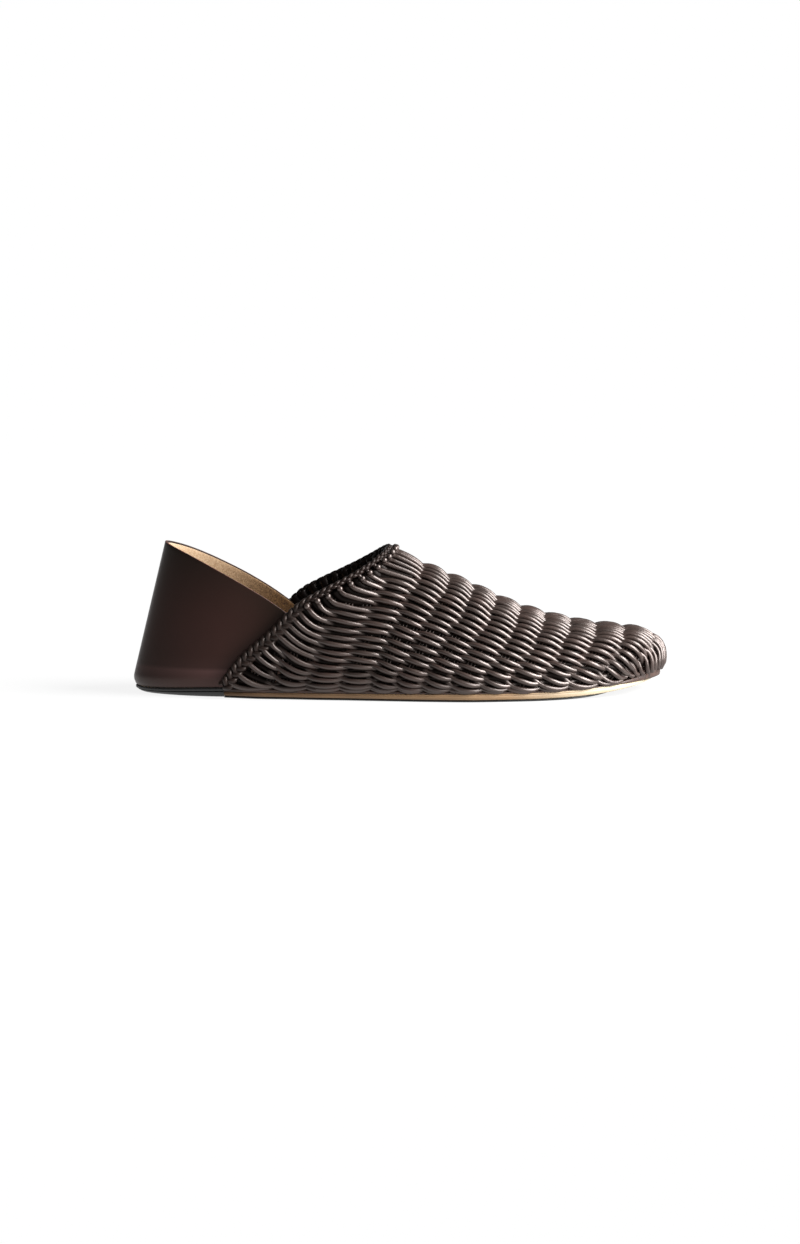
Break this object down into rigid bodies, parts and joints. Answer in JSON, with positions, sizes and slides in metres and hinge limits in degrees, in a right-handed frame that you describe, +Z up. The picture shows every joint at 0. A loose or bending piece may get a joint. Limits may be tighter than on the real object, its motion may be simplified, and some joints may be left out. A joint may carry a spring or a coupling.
{
  "type": "woven leather mule",
  "caption": "Flat slip-on mule for the right foot, with a hollow twined-cord vamp, a braided throat edge, a soft leather heel quarter and a leather sole with toe spring.",
  "frame": {"origin": "on the floor under the middle of the shoe's overall box", "axes": "+X towards the toe, -Y the outer side of the foot, +Y the inner side, +Z up from the floor"},
  "size_m": [0.2562, 0.0934, 0.0722],
  "materials": {
    "woven_cord": "satin",
    "quarter_leather": "satin",
    "lining": "matte suede",
    "sole_leather": "matte",
    "sole_black": "matte"
  },
  "bodies": {
    "root": {"outsole": "sole_leather", "tread": "sole_black", "heel_lift": "sole_black", "heel_rim": "sole_black", "insole": "lining", "vamp": "woven_cord", "heel_quarter": "quarter_leather", "collar_braid": "woven_cord"}
  },
  "joints": []
}
